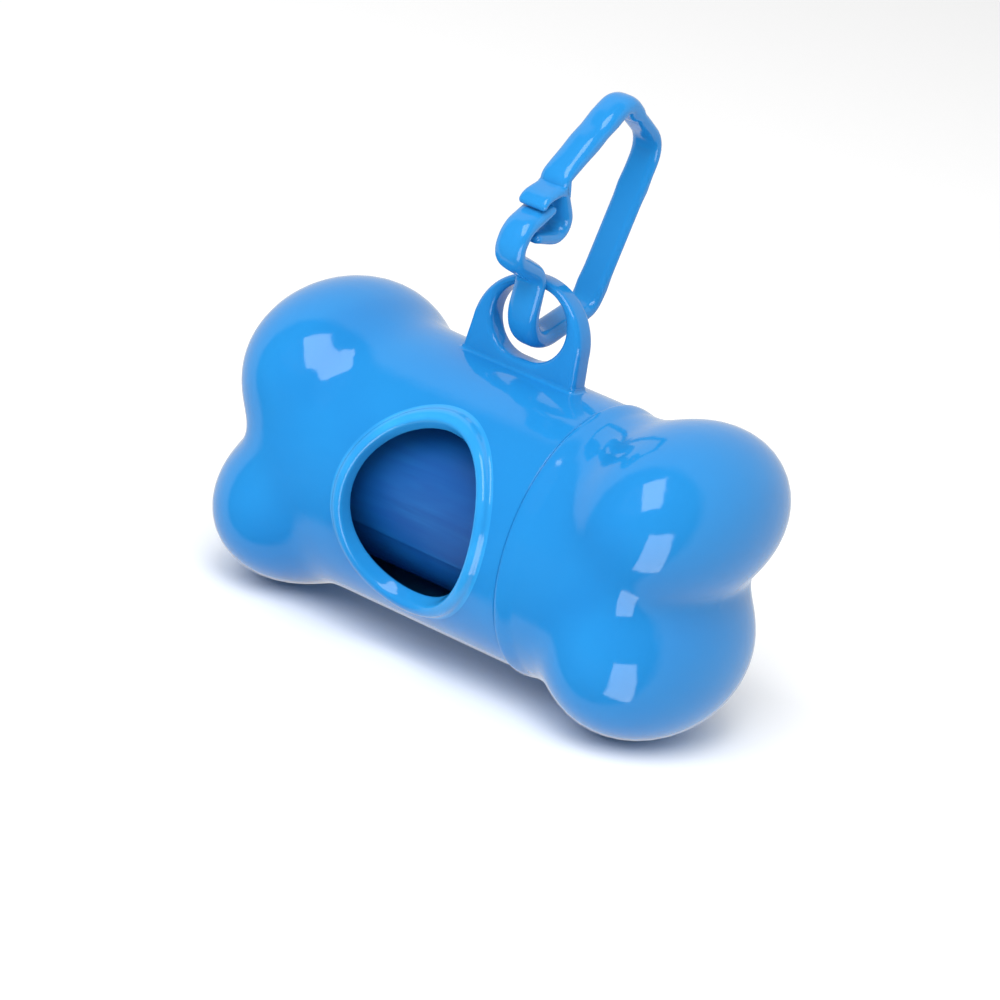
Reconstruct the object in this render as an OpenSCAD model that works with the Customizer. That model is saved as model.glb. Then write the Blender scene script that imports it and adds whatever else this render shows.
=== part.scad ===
// Bone-shaped dog waste bag dispenser with a screw cap and a one-piece hanging clip.
// X runs along the bone with the screw cap at +X, -Y is the outlet side, +Z is the lug side.
// The origin lies on the surface that the bone rests on, under the middle of the bone.

/* [Bone] */
// radius of the round waist
waist_r = 20; // [16:0.5:26]
// distance from the middle to the dip between the two lobes of an end
dip_x = 34.4; // [28:0.1:45]
// distance of the lobe centres from the middle, along the bone
lobe_x = 29.4; // [24:0.1:40]
// distance of the lobe centres above and below the bone's axis
lobe_z = 9.8; // [7:0.1:14]
// half width of a lobe along its outward lean
lobe_rx = 12; // [9:0.1:16]
// half thickness of a lobe from front to back
lobe_ry = 20; // [15:0.1:26]
// half height of a lobe
lobe_rz = 13.2; // [9:0.1:17]
// lean of the lobes about the front-back axis, in degrees
lobe_lean = -15; // [-25:1:25]
// sharpness of the creases where the lobes meet each other
lobe_crease = 12.2; // [8:0.1:16]
// sharpness of the crease between waist and lobes
waist_crease = 15.4; // [10:0.1:20]
// squareness of the waist's ends
waist_square = 6; // [3:1:10]
// wall thickness
wall = 1.8; // [1.2:0.1:3]
// depth of the small flat that each lower lobe stands on
stand_flat = 0.15; // [0.05:0.05:0.5]

/* [Screw cap] */
// position of the seam between body and cap along the bone
seam_x = 14.5; // [8:0.5:20]
// visible gap at the seam when the cap is screwed home
seam_gap = 0.2; // [0.1:0.05:0.5]
// height of the raised lip on the cap's edge
lip_h = 0.4; // [0.2:0.1:1]
// width of the raised lip on the cap's edge
lip_w = 3; // [2:0.5:5]
// length of the screw neck beyond the seam
neck_len = 8; // [5:0.5:12]
// depth of the neck's collar inside the body
collar_len = 4; // [2:0.5:8]
// radial room between the mouth of the halves and the outside of the neck
neck_room = 1.6; // [1.2:0.1:2.5]
// wall thickness of the neck
neck_wall = 1.6; // [1:0.1:2.5]
// travel of the cap in one full turn
pitch = 4; // [2:0.5:6]
// turns of each thread
thread_turns = 1.4; // [1:0.1:1.6]
// width of a thread at its foot
thread_foot = 1.6; // [1:0.1:1.9]
// width of a thread at its crest
thread_crest = 0.8; // [0.4:0.1:1.2]
// height of the thread on the neck
neck_thread_h = 0.9; // [0.5:0.1:1.2]
// radial room between the cap's thread and the neck
thread_room = 0.4; // [0.2:0.05:0.6]

/* [Outlet] */
// position of the outlet's centre along the bone
outlet_x = -1.6; // [-8:0.1:4]
// length of the outlet rim along the bone, over its outside
outlet_w = 25.2; // [18:0.1:30]
// height of the outlet rim, over its outside
outlet_h = 29.2; // [20:0.1:34]
// width of the rim bead
rim_w = 1.6; // [1:0.1:3]
// how far the rim stands proud of the waist
rim_proud = 1; // [0.4:0.1:2]

/* [Hanging lug] */
// position of the lug's centre along the bone
lug_x = -1.2; // [-8:0.1:4]
// thickness of the lug
lug_t = 3.8; // [2.4:0.1:5]
// height of the centre of the lug's round top above the waist
lug_arch_rise = 4.5; // [2:0.1:8]
// radius of the lug's round top
lug_arch_r = 9.1; // [7:0.1:11]
// half width of the lug at its root
lug_root_w = 9.7; // [7:0.1:12]
// height of the eye's centre above the centre of the round top
eye_rise = 2.5; // [0:0.1:3]
// radius of the eye's round ends
eye_r = 5.3; // [4:0.1:7]
// distance between the centres of the eye's round ends
eye_slot = 1.8; // [0:0.1:4]

/* [Clip] */
// width of the clip's band along the bone
clip_w = 4.4; // [3:0.1:5]
// thickness of the flexible strip at the back
strip_t = 2; // [1.4:0.1:2.4]
// thickness of the arms at the front
arm_t = 2.4; // [1.8:0.1:2.6]
// distance of the strip's middle behind the lug
strip_y = 14.5; // [12:0.1:17]
// height of the strip's middle above the eye's centre
strip_z = 9.1; // [7:0.1:12]
// lean of the strip from level, in degrees
strip_lean = 73.4; // [72:0.1:80]
// length of the lower half of the strip
strip_low = 6.75; // [5:0.25:9]
// length of the upper half of the strip
strip_high = 14; // [12:0.1:17]
// radius of the bend under the strip
low_bend = 3; // [2.6:0.1:3.6]
// radius of the bend over the strip
high_bend = 4.2; // [3.6:0.1:5]
// radius of the small bends of the two hooks
hook_bend = 2.2; // [1.8:0.1:2.6]

/* [Bag roll] */
// outer radius of the wound bags
roll_r = 13.8; // [10:0.1:14]
// length of the wound bags
roll_len = 58; // [50:1:60]
// outer radius of the paper core
core_r = 7; // [5:0.1:9]
// wall of the paper core
core_wall = 1; // [0.6:0.1:2]
// length of the paper core
core_len = 60; // [50:1:62]
// thickness of the leading bag, folded
bag_t = 0.4; // [0.2:0.1:0.8]
// gap between the turning roll and the neck that it lies in
roll_gap = 0.3; // [0.2:0.1:0.6]

/* [Hidden] */
// shell mesh: points round a ring, rings along the straight part, rings of an end's fan
ring_n = 48;
station_step = 2.6;
fan_n = 10;
// how far inside the lobe centres the fan of rays of an end starts
fan_inset = 4;
fan_x = lobe_x - fan_inset;
bisect_steps = 16;
ray_max = 40;
small = 0.05;
// a ring's flat sides lie this much nearer to the axis than its corners
flat = cos(180 / ring_n);
mouth_r = waist_r - wall;
mouth_in = mouth_r * flat - small;
neck_r = mouth_r - neck_room;
neck_in = neck_r - neck_wall;
thread_n = 36;
thread_flat = cos(180 / thread_n);
neck_root = neck_r / thread_flat;
neck_crest = neck_r + neck_thread_h;
cap_crest = neck_r + thread_room;
thread_x = seam_x + 1.2;
cap_thread_x = thread_x + pitch / 2;
// the inside is round as far in as the cap's thread reaches
bore_x = cap_thread_x + thread_turns * pitch + thread_foot / 2 + small;
lug_arch_z = waist_r + lug_arch_rise;
eye_z = lug_arch_z + eye_rise;
bag_gap = 0.1;
bag_in = roll_r + bag_gap;
bag_out = bag_in + bag_t;
roll_z = bag_out + roll_gap - neck_in;
core_gap = 0.1;

// Field of the bone: over 1 inside, 1 on the skin. cut is how far the skin is drawn in.
function lobe_field(x, y, z, sx, sz, cut) =
    let (dx = sx * x - lobe_x,
         dz = sz * z - lobe_z,
         u = cos(lobe_lean) * dx + sin(lobe_lean) * dz,
         w = cos(lobe_lean) * dz - sin(lobe_lean) * dx,
         e = norm([u / (lobe_rx - cut), w / (lobe_rz - cut), y / (lobe_ry - cut)]))
    pow(max(e, small), -lobe_crease);

function waist_field(x, y, z, cut) =
    let (r = norm([y, z]) / (waist_r - cut),
         l = abs(x) / (dip_x - cut),
         g = pow(pow(r, waist_square) + pow(l, waist_square), 1 / waist_square))
    pow(max(g, small), -waist_crease);

function field(p, cut) =
    waist_field(p.x, p.y, p.z, cut)
    + lobe_field(p.x, p.y, p.z, 1, 1, cut) + lobe_field(p.x, p.y, p.z, 1, -1, cut)
    + lobe_field(p.x, p.y, p.z, -1, 1, cut) + lobe_field(p.x, p.y, p.z, -1, -1, cut);

// Distance from base to the skin along a direction, found by halving.
function reach(base, dir, cut, lo = 1, hi = ray_max, n = bisect_steps) =
    n == 0 ? (lo + hi) / 2
    : let (mid = (lo + hi) / 2)
      field(base + mid * dir, cut) > 1 ? reach(base, dir, cut, mid, hi, n - 1)
                                       : reach(base, dir, cut, lo, mid, n - 1);

// A station is [x of the rays' start, angle of the rays towards the end of the bone].
function skin_point(station, side, a, cut) =
    let (base = [station[0], 0, 0],
         f = station[1],
         dir = [side * sin(f), cos(f) * cos(a), cos(f) * sin(a)])
    base + reach(base, dir, cut) * dir;

// The raised lip on the cap's edge, as extra radius.
function lip(x) = lip_h * max(0, sin(180 * min(1, max(0, (x - seam_x) / lip_w))));

function outer_point(station, side, a) =
    let (p = skin_point(station, side, a, 0),
         r = norm([p.y, p.z]),
         k = station[1] == 0 && side > 0 ? (r + lip(p.x)) / r : 1)
    [p.x, p.y * k, p.z * k];

// The inside keeps the wall and is never wider than the mouth, so that its core pulls out.
function inner_point(station, side, a) =
    let (p = skin_point(station, side, a, wall),
         r = norm([p.y, p.z]),
         k = r > mouth_r || abs(p.x) < bore_x ? mouth_r / r : 1)
    [p.x, p.y * k, p.z * k];

// Stations from the seam to the end of the bone at the given side.
function stations(from, side) =
    let (to = side * fan_x,
         n = ceil(abs(to - from) / station_step))
    concat([for (i = [0:n]) [from + (to - from) * i / n, 0]],
           [for (i = [1:fan_n - 1]) [to, 90 * i / fan_n]]);

// A ring has a flat, not a corner, at its lowest and highest place.
function ring_angle(i) = 360 * (i + 0.5) / ring_n;

function rings(from, side, inside) =
    [for (s = stations(from, side)) for (i = [0:ring_n - 1])
        inside ? inner_point(s, side, ring_angle(i)) : outer_point(s, side, ring_angle(i))];

function pole(side, cut) = skin_point([side * fan_x, 90], side, 0, cut);

// Triangles between ring j and ring j + 1, and from the last ring to the pole.
function band(j, off, flip) =
    [for (i = [0:ring_n - 1])
        let (a = off + j * ring_n + i,
             b = off + j * ring_n + (i + 1) % ring_n,
             c = a + ring_n,
             d = b + ring_n)
        each (flip ? [[a, c, b], [b, c, d]] : [[a, b, c], [b, d, c]])];

function fan(j, off, tip, flip) =
    [for (i = [0:ring_n - 1])
        let (a = off + j * ring_n + i,
             b = off + j * ring_n + (i + 1) % ring_n)
        flip ? [a, tip, b] : [a, b, tip]];

// The flat rim of the mouth, between the first outer and the first inner ring.
function mouth(off, flip) =
    [for (i = [0:ring_n - 1])
        let (a = i,
             b = (i + 1) % ring_n,
             c = off + a,
             d = off + b)
        each (flip ? [[a, b, c], [b, d, c]] : [[a, c, b], [b, c, d]])];

// One half of the bone from its mouth to its end, as a closed hollow shell.
module half_shell(from, side) {
    count = len(stations(from, side));
    half = count * ring_n + 1;
    flip = side > 0;
    points = concat(rings(from, side, false), [pole(side, 0)],
                    rings(from, side, true), [pole(side, wall)]);
    faces = concat([for (j = [0:count - 2]) each band(j, 0, flip)],
                   fan(count - 1, 0, half - 1, flip),
                   [for (j = [0:count - 2]) each band(j, half, !flip)],
                   fan(count - 1, half, 2 * half - 1, !flip),
                   mouth(half, flip));
    polyhedron(points, faces, convexity = 8);
}

// Height of the bone's axis above what the lower lobes stand on.
lobe_reach = max([for (s = stations(seam_x, 1)) -outer_point(s, 1, ring_angle(0.75 * ring_n)).z]);
axis_h = lobe_reach - stand_flat;

module at_axis() {
    translate([0, 0, axis_h])
        children();
}

// Everything below the surface that the bone stands on.
module ground() {
    translate([-2 * lobe_x, -waist_r, -2 * axis_h])
        cube([4 * lobe_x, 2 * waist_r, axis_h]);
}

// A cylinder along the bone from x0 to x1.
module rod(x0, x1, r) {
    translate([x0, 0, 0])
        rotate([0, 90, 0])
            cylinder(h = x1 - x0, r = r, $fn = 96);
}

// ---------- outlet ----------

outlet_n = 48;

module oval(w, h) {
    polygon([for (i = [0:outlet_n - 1]) [w / 2 * cos(360 * i / outlet_n), h / 2 * sin(360 * i / outlet_n)]]);
}

// The outlet's outline, carried from the axis out through the front wall.
module outlet_prism(inset) {
    translate([outlet_x, 0, 0])
        rotate([90, 0, 0])
            linear_extrude(waist_r * 1.5)
                oval(outlet_w - 2 * inset, outlet_h - 2 * inset);
}

module body_shell() {
    color("#1E88E5")
        at_axis()
            difference() {
                half_shell(seam_x, -1);
                outlet_prism(0);
                ground();
            }
}

module outlet_rim() {
    color("#2E96EE")
        at_axis()
            difference() {
                intersection() {
                    outlet_prism(0);
                    rod(outlet_x - outlet_w, outlet_x + outlet_w, waist_r + rim_proud);
                }
                outlet_prism(rim_w);
                rod(outlet_x - outlet_w, outlet_x + outlet_w, mouth_r);
            }
}

// ---------- hanging lug ----------

module lug_outline() {
    translate([0, lug_arch_z])
        circle(lug_arch_r, $fn = 96);
    polygon([[-lug_root_w, 0], [lug_root_w, 0], [lug_arch_r, lug_arch_z], [-lug_arch_r, lug_arch_z]]);
}

module eye_outline() {
    for (s = [-1, 1])
        translate([s * eye_slot / 2, eye_z])
            circle(eye_r, $fn = 96);
    translate([-eye_slot / 2, eye_z - eye_r])
        square([eye_slot, 2 * eye_r]);
}

module hanging_lug() {
    color("#1C7FDB")
        at_axis()
            difference() {
                translate([lug_x, lug_t / 2, 0])
                    rotate([90, 0, 0])
                        linear_extrude(lug_t)
                            difference() {
                                lug_outline();
                                eye_outline();
                            }
                rod(lug_x - 2 * lug_root_w, lug_x + 2 * lug_root_w, waist_r + small);
            }
}

// ---------- screw neck and threads ----------

module screw_neck() {
    color("#1976D2")
        at_axis()
            difference() {
                union() {
                    rod(seam_x - collar_len, seam_x, mouth_in);
                    rod(seam_x - collar_len, seam_x + neck_len, neck_r);
                }
                rod(seam_x - collar_len - 1, seam_x + neck_len + 1, neck_in);
            }
}

// A ridge that winds round the bone's axis from x0, from radius r_foot to radius r_crest.
module helix(x0, r_foot, r_crest) {
    n = round(thread_turns * thread_n);
    section = [[-thread_foot / 2, r_foot], [-thread_crest / 2, r_crest],
               [thread_crest / 2, r_crest], [thread_foot / 2, r_foot]];
    points = [for (i = [0:n]) let (a = 360 * i / thread_n) for (s = section)
        [x0 + pitch * a / 360 + s[0], s[1] * cos(a), s[1] * sin(a)]];
    outward = r_crest > r_foot;
    sides = [for (i = [0:n - 1]) for (k = [0:3])
        let (a = 4 * i + k,
             b = 4 * i + (k + 1) % 4)
        each (outward ? [[a, b, a + 4], [b, b + 4, a + 4]] : [[a, a + 4, b], [b, a + 4, b + 4]])];
    first = outward ? [[3, 2, 1], [3, 1, 0]] : [[1, 2, 3], [0, 1, 3]];
    last = outward ? [[0, 1, 2], [0, 2, 3]] : [[2, 1, 0], [3, 2, 0]];
    polyhedron(points, concat(sides, first, [for (f = last) [for (v = f) v + 4 * n]]), convexity = 8);
}

module neck_thread() {
    color("#1565C0")
        at_axis()
            helix(thread_x, neck_root, neck_crest);
}

module cap_shell() {
    color("#2A8FF0")
        at_axis()
            difference() {
                half_shell(seam_x + seam_gap, 1);
                ground();
            }
}

module cap_thread() {
    color("#1565C0")
        at_axis()
            helix(cap_thread_x, mouth_in, cap_crest);
}

// ---------- bag roll ----------

module at_roll() {
    translate([0, 0, axis_h + roll_z])
        children();
}

module roll_core() {
    color("#C9B79A")
        at_roll()
            difference() {
                rod(-core_len / 2, core_len / 2, core_r);
                rod(-core_len, core_len, core_r - core_wall);
            }
}

module bag_roll() {
    color("#14386E")
        at_roll()
            difference() {
                rod(-roll_len / 2, roll_len / 2, roll_r);
                rod(-roll_len, roll_len, core_r + core_gap);
            }
}

// The free outer bag lies round the roll's top and front, and ends in the outlet's sight.
bag_from = 60;
bag_to = 205.5;

module leading_bag() {
    color("#1B4B8C")
        at_roll()
            rotate([bag_from, 0, 0])
                translate([-roll_len / 2, 0, 0])
                    rotate([90, 0, 90])
                        rotate_extrude(angle = bag_to - bag_from, $fn = 96)
                            translate([bag_in, 0])
                                square([bag_t, roll_len]);
}

// ---------- clip ----------

// The clip's centre line is a walk in the plane across the bone. A step is
// [radius or 0, length or turn in degrees, thickness at its end]. Left turns are positive.
low_walk = [
    [0, strip_low, strip_t + 0.2],     // down the strip
    [low_bend, -54, arm_t],
    [0, 8.12, arm_t],                  // forward and down through the eye
    [5, -110.5, arm_t],
    [0, 3.3, arm_t - 0.3],             // up in front of the lug
    [hook_bend, 70, arm_t + 0.1],
    [0, 5, arm_t],                     // forward to the hook's back
    [hook_bend, -84, arm_t - 0.2],
    [0, 0.9, arm_t + 0.1],             // up the hook's back
    [3.2, -45, arm_t - 0.2],
    [0, 3.9, arm_t - 0.6],             // the hook's nose
    [0, 1.1, arm_t - 0.9]];

high_walk = [
    [0, strip_high, strip_t + 0.1],    // up the strip
    [high_bend, 75.3, strip_t],
    [0, 4.6, strip_t + 0.1],           // forward, until the strip meets the stiff arm
    [0, 1.3, arm_t + 0.2],
    [0, 1.5, arm_t + 0.3],
    [3, 71.8, arm_t],
    [0, 4.2, arm_t],                   // down the arm
    [0, 4, arm_t + 0.1],
    [0, 5.1, arm_t - 0.3],
    [1.5, 83.1, arm_t - 0.6],
    [0, 4.4, arm_t - 0.2],
    [hook_bend, -128.9, arm_t - 0.6],  // round and forward, under the hook's nose
    [0, 4.9, arm_t - 0.9]];

// The foot that closes the latch from above starts inside the arm.
foot_start = [-2.9, eye_z + 20.6, 197, arm_t - 0.4];
foot_walk = [
    [0, 1.4, arm_t - 0.9],
    [0, 2.8, arm_t - 1.1],
    [1.7, 64, arm_t - 1.2]];           // its end bends down round the hook

turn_step = 15;

// Places along a step as [y, z, heading, thickness].
function walk_step(p, s) =
    s[0] == 0
    ? [[p[0] + s[1] * cos(p[2]), p[1] + s[1] * sin(p[2]), p[2], s[2]]]
    : let (n = ceil(abs(s[1]) / turn_step),
           side = sign(s[1]),
           cy = p[0] - side * s[0] * sin(p[2]),
           cz = p[1] + side * s[0] * cos(p[2]))
      [for (i = [1:n])
          let (h = p[2] + s[1] * i / n)
          [cy + side * s[0] * sin(h), cz - side * s[0] * cos(h), h, p[3] + (s[2] - p[3]) * i / n]];

function walk(p, steps, i = 0) =
    i == len(steps) ? [p]
    : let (added = walk_step(p, steps[i]))
      concat([p], [for (k = [0:1:len(added) - 2]) added[k]], walk(added[len(added) - 1], steps, i + 1));

function edge(path, side) =
    [for (p = path) [p[0] - side * p[3] / 2 * sin(p[2]), p[1] + side * p[3] / 2 * cos(p[2])]];

function reversed(list) = [for (i = [len(list) - 1:-1:0]) list[i]];

// The band from a start place along a walk, as a plate across the bone.
module clip_band(start, steps) {
    path = walk(start, steps);
    translate([lug_x - clip_w / 2, 0, 0])
        rotate([90, 0, 90])
            linear_extrude(clip_w)
                polygon(concat(edge(path, -1), reversed(edge(path, 1))));
}

// Where the two halves of the strip meet.
strip_mid = [strip_y, eye_z + strip_z];

module clip_lower() {
    color("#2196F3")
        at_axis()
            clip_band([strip_mid.x, strip_mid.y, strip_lean + 180, strip_t], low_walk);
}

module clip_upper() {
    color("#42A5F5")
        at_axis() {
            clip_band([strip_mid.x, strip_mid.y, strip_lean, strip_t], high_walk);
            clip_band(foot_start, foot_walk);
        }
}

body_shell();
outlet_rim();
hanging_lug();
screw_neck();
neck_thread();
cap_shell();
cap_thread();
roll_core();
bag_roll();
leading_bag();
clip_lower();
clip_upper();
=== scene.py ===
import math

import bmesh
import bpy
import numpy as np
from bpy.props import FloatProperty, FloatVectorProperty, IntProperty, PointerProperty
from mathutils import Matrix, Vector


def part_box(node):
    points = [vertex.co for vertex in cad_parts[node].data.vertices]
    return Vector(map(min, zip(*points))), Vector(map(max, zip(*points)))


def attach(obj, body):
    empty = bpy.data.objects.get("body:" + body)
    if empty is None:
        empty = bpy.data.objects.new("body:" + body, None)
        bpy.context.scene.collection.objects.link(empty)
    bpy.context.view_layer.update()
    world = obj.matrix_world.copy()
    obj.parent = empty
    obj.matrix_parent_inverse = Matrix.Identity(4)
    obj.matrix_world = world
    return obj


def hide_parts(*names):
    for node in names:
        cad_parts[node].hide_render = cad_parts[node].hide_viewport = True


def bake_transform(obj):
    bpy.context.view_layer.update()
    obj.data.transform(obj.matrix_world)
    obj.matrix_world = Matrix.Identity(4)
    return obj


bl_info = {
    "name": "Bone Bag Dispenser",
    "version": (1, 0, 0),
    "blender": (4, 5, 0),
    "location": "View3D > Sidebar > Bag Dispenser",
    "description": "Builds a bone-shaped dispenser for pet waste bags: shell, screw cap, hanging clip "
                   "and bag roll",
    "category": "Add Mesh",
}

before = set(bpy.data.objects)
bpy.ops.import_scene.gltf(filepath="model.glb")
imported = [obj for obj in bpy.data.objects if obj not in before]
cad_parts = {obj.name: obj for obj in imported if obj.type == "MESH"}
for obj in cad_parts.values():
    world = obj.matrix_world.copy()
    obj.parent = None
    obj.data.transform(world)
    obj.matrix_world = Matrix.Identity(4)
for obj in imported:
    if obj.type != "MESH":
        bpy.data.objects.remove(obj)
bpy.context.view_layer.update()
NECK_LOW, NECK_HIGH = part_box("screw_neck")
# height of the bone's axis above the surface that the bone stands on
AXIS_Z = (NECK_LOW.z + NECK_HIGH.z) / 2
ROLL_LOW, ROLL_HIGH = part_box("bag_roll")
ROLL_Z = (ROLL_LOW.z + ROLL_HIGH.z) / 2
MM = 0.001


# ---------- sizes and colours ----------

def length(name, description, default, low=0.0, high=0.1):
    return FloatProperty(name=name, description=description, default=default, min=low, max=high,
                         subtype="DISTANCE", unit="LENGTH", precision=5)


def angle(name, description, degrees):
    return FloatProperty(name=name, description=description, default=math.radians(degrees),
                         subtype="ANGLE", unit="ROTATION")


def number(name, description, default, **limits):
    return FloatProperty(name=name, description=description, default=default, **limits)


def colour(name, description, default):
    return FloatVectorProperty(name=name, description=description, default=default, size=3,
                               min=0.0, max=1.0, subtype="COLOR")


class BoneSizes(bpy.types.PropertyGroup):
    waist: length("Waist Radius", "Radius of the bone's round waist", 0.020)
    dip: length("End Dip", "Distance of the dip between two lobes from the middle", 0.0344)
    lobe_along: length("Lobe Along", "Distance of the lobe centres from the middle", 0.0294)
    lobe_up: length("Lobe Up", "Distance of the lobe centres above and below the axis", 0.0098)
    lobe_rx: length("Lobe Half Width", "Half width of a lobe along its lean", 0.012)
    lobe_ry: length("Lobe Half Depth", "Half thickness of a lobe from front to back", 0.020)
    lobe_rz: length("Lobe Half Height", "Half height of a lobe", 0.0132)
    lean: angle("Lobe Lean", "Lean of the lobes about the front-back axis", -15)
    lobe_crease: number("Lobe Crease", "Sharpness of the creases between lobes", 12.2)
    waist_crease: number("Waist Crease", "Sharpness of the creases at the waist", 15.4)
    waist_square: number("Waist Squareness", "Squareness of the waist's ends", 6.0)
    fan_inset: length("Fan Inset", "How far inside the lobe centres the end's rays start", 0.004)
    wall: length("Wall", "Wall thickness of the two halves", 0.0018)
    seam: length("Seam", "Place of the seam between body and cap", 0.0145)
    seam_gap: length("Seam Gap", "Visible gap at the seam", 0.00008)
    lip_height: length("Lip Height", "Height of the raised lip on the cap's edge", 0.0004)
    lip_width: length("Lip Width", "Width of the raised lip on the cap's edge", 0.0032)
    bore: length("Round Bore", "Distance up to which the inside is round", 0.0231)
    ring: IntProperty(name="Points Round", description="Points round the bone", default=144, min=24, max=256)


class OutletSizes(bpy.types.PropertyGroup):
    along: length("Centre", "Place of the outlet's centre along the bone", -0.0016, -0.02)
    width: length("Width", "Length of the outlet rim along the bone", 0.0252)
    height: length("Height", "Height of the outlet rim", 0.0292)
    hole_inset: length("Hole Inset", "How far inside the rim's outline the shell is cut", 0.0007)


class LugSizes(bpy.types.PropertyGroup):
    along: length("Centre", "Place of the lug's centre along the bone", -0.0012, -0.02)
    thickness: length("Thickness", "Thickness of the lug", 0.0038)
    root: length("Root Half Width", "Half width of the lug at its root", 0.00985)
    arch: length("Arch Radius", "Radius of the lug's round top", 0.0093)
    arch_up: length("Arch Height", "Height of the round top's centre above the axis", 0.0245)
    eye: length("Eye Radius", "Radius of the eye's round ends", 0.0053)
    eye_slot: length("Eye Slot", "Distance between the centres of the eye's ends", 0.0018)
    eye_up: length("Eye Height", "Height of the eye's centre above the axis", 0.027)
    edge: length("Edge Rounding", "Rounding of the lug's edges", 0.00095)


class ScrewSizes(bpy.types.PropertyGroup):
    neck: length("Neck Radius", "Outer radius of the screw neck", 0.0166)
    neck_wall: length("Neck Wall", "Wall of the screw neck", 0.0016)
    neck_length: length("Neck Length", "Length of the neck beyond the seam", 0.008)
    collar: length("Collar Length", "Depth of the neck's collar inside the body", 0.004)
    pitch: length("Pitch", "Travel of the cap in one full turn", 0.004)
    turns: number("Turns", "Turns of each thread", 1.4, min=0.5, max=2)
    neck_ridge: length("Neck Thread Height", "Height of the thread on the neck", 0.0009)
    cap_crest: length("Cap Thread Crest", "Radius of the cap thread's crest", 0.017)


class ClipSizes(bpy.types.PropertyGroup):
    width: length("Band Width", "Width of the clip's band", 0.0047)
    rounding: length("Edge Rounding", "Rounding of the hook's and the arm's edges", 0.0013)
    strip_rounding: length("Strip Rounding", "Rounding of the thin strip's edges", 0.0006)
    strip_y: length("Strip Distance", "Distance of the strip's middle behind the lug", 0.0145)
    strip_up: length("Strip Height", "Height of the strip's middle above the axis", 0.0361)
    strip_lean: angle("Strip Lean", "Lean of the strip from level", 73.4)
    bend_low: length("Bend Starts", "How far below its middle the strip starts to twist", 0.005)
    bend_high: length("Bend Ends", "How far above its middle the strip stops twisting", 0.010)


class BagSizes(bpy.types.PropertyGroup):
    roll: length("Roll Radius", "Outer radius of the wound bags", 0.0138)
    roll_length: length("Roll Length", "Length of the wound bags", 0.058)
    core: length("Core Radius", "Outer radius of the paper core", 0.007)
    core_wall: length("Core Wall", "Wall of the paper core", 0.001)
    core_length: length("Core Length", "Length of the paper core", 0.060)
    lead_from: angle("Leading Bag From", "Where the leading bag leaves the roll", 60)
    lead_to: angle("Leading Bag To", "Where the leading bag's free edge lies", 205.5)


class FinishColours(bpy.types.PropertyGroup):
    shell: colour("Shell Blue", "Colour of the moulded plastic", (0.014, 0.218, 0.55))
    shell_deep: colour("Deep Shell Blue", "Colour where the plastic is a little thicker",
                       (0.012, 0.198, 0.52))
    # painted light: the rim's blue is the shell blue made lighter, a painted highlight for the light that the
    # raised bead catches
    rim: colour("Rim Blue Painted Lighter", "Colour of the rim: the shell blue painted lighter, as painted light on the raised bead", (0.030, 0.315, 0.69))
    clip: colour("Clip Blue", "Colour of the clip's plastic", (0.018, 0.228, 0.57))
    film: colour("Film Blue", "Colour of the bag film", (0.003, 0.075, 0.30))
    film_light: colour("Light Film Blue", "Colour of the bag film's folds", (0.006, 0.125, 0.39))
    card: colour("Card", "Colour of the paper core", (0.42, 0.30, 0.19))
    floor: colour("Floor", "Colour of the floor", (0.97, 0.97, 0.97))


class StageSizes(bpy.types.PropertyGroup):
    azimuth: angle("Camera Azimuth", "Camera's turn round the object", 30.65)
    elevation: angle("Camera Elevation", "Camera's height above the horizon", 17.67)
    roll: angle("Camera Roll", "Camera's roll about its line of sight", 13.90)
    distance: length("Camera Distance", "Camera's distance from the bone's middle", 0.650, 0.1, 5)
    lens: number("Lens", "Focal length for a 36 mm wide picture", 165.18)
    key: number("Front Light", "Power of the broad front light in watts", 9.0)
    shine: number("Softbox Brightness", "Radiance of the two softboxes that shine on the plastic", 4.0)
    sky: number("Surround", "Brightness of the white surround", 0.68)
    mirror: number("Mirrored Surround", "Brightness of the surround where the plastic mirrors it", 0.8)
    mirror_front: number("Mirrored Front", "Brightness of what the plastic mirrors on the camera's side", 0.1)


SIZE_GROUPS = {
    "bone_sizes": BoneSizes,
    "outlet_sizes": OutletSizes,
    "lug_sizes": LugSizes,
    "screw_sizes": ScrewSizes,
    "clip_sizes": ClipSizes,
    "bag_sizes": BagSizes,
    "finish_colours": FinishColours,
    "stage_sizes": StageSizes,
}


# ---------- hands: selecting, drawing and shaping ----------

def put_down():
    """Leaves edit mode and deselects everything, because an operator acts on all that is selected."""
    if bpy.context.object and bpy.context.object.mode != "OBJECT":
        bpy.ops.object.mode_set(mode="OBJECT")
    bpy.ops.object.select_all(action="DESELECT")


def take(*pieces):
    """Selects only these pieces and makes the first one active."""
    put_down()
    for piece in pieces:
        piece.select_set(True)
    bpy.context.view_layer.objects.active = pieces[0]
    return pieces[0]


def named(name):
    """Names the primitive that was just added, and bakes its place into its mesh."""
    piece = bpy.context.object
    piece.name = name
    piece.data.name = name
    bpy.ops.object.transform_apply(location=True, rotation=True, scale=True)
    return piece


def points_of(piece):
    flat = np.empty(len(piece.data.vertices) * 3, np.float32)
    piece.data.vertices.foreach_get("co", flat)
    return flat.reshape(-1, 3).astype(float)


def set_points(piece, points):
    piece.data.vertices.foreach_set("co", np.asarray(points, np.float32).ravel())
    piece.data.update()


def edit(piece):
    take(piece)
    bpy.ops.object.mode_set(mode="EDIT")
    bpy.ops.mesh.select_mode(type="VERT")


def choose(piece, test):
    """In edit mode, selects the points whose place passes the test, and what lies between them."""
    bpy.ops.mesh.select_all(action="DESELECT")
    shape = bmesh.from_edit_mesh(piece.data)
    for point in shape.verts:
        point.select_set(bool(test(point.co)))
    shape.select_flush(True)
    bmesh.update_edit_mesh(piece.data)


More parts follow.
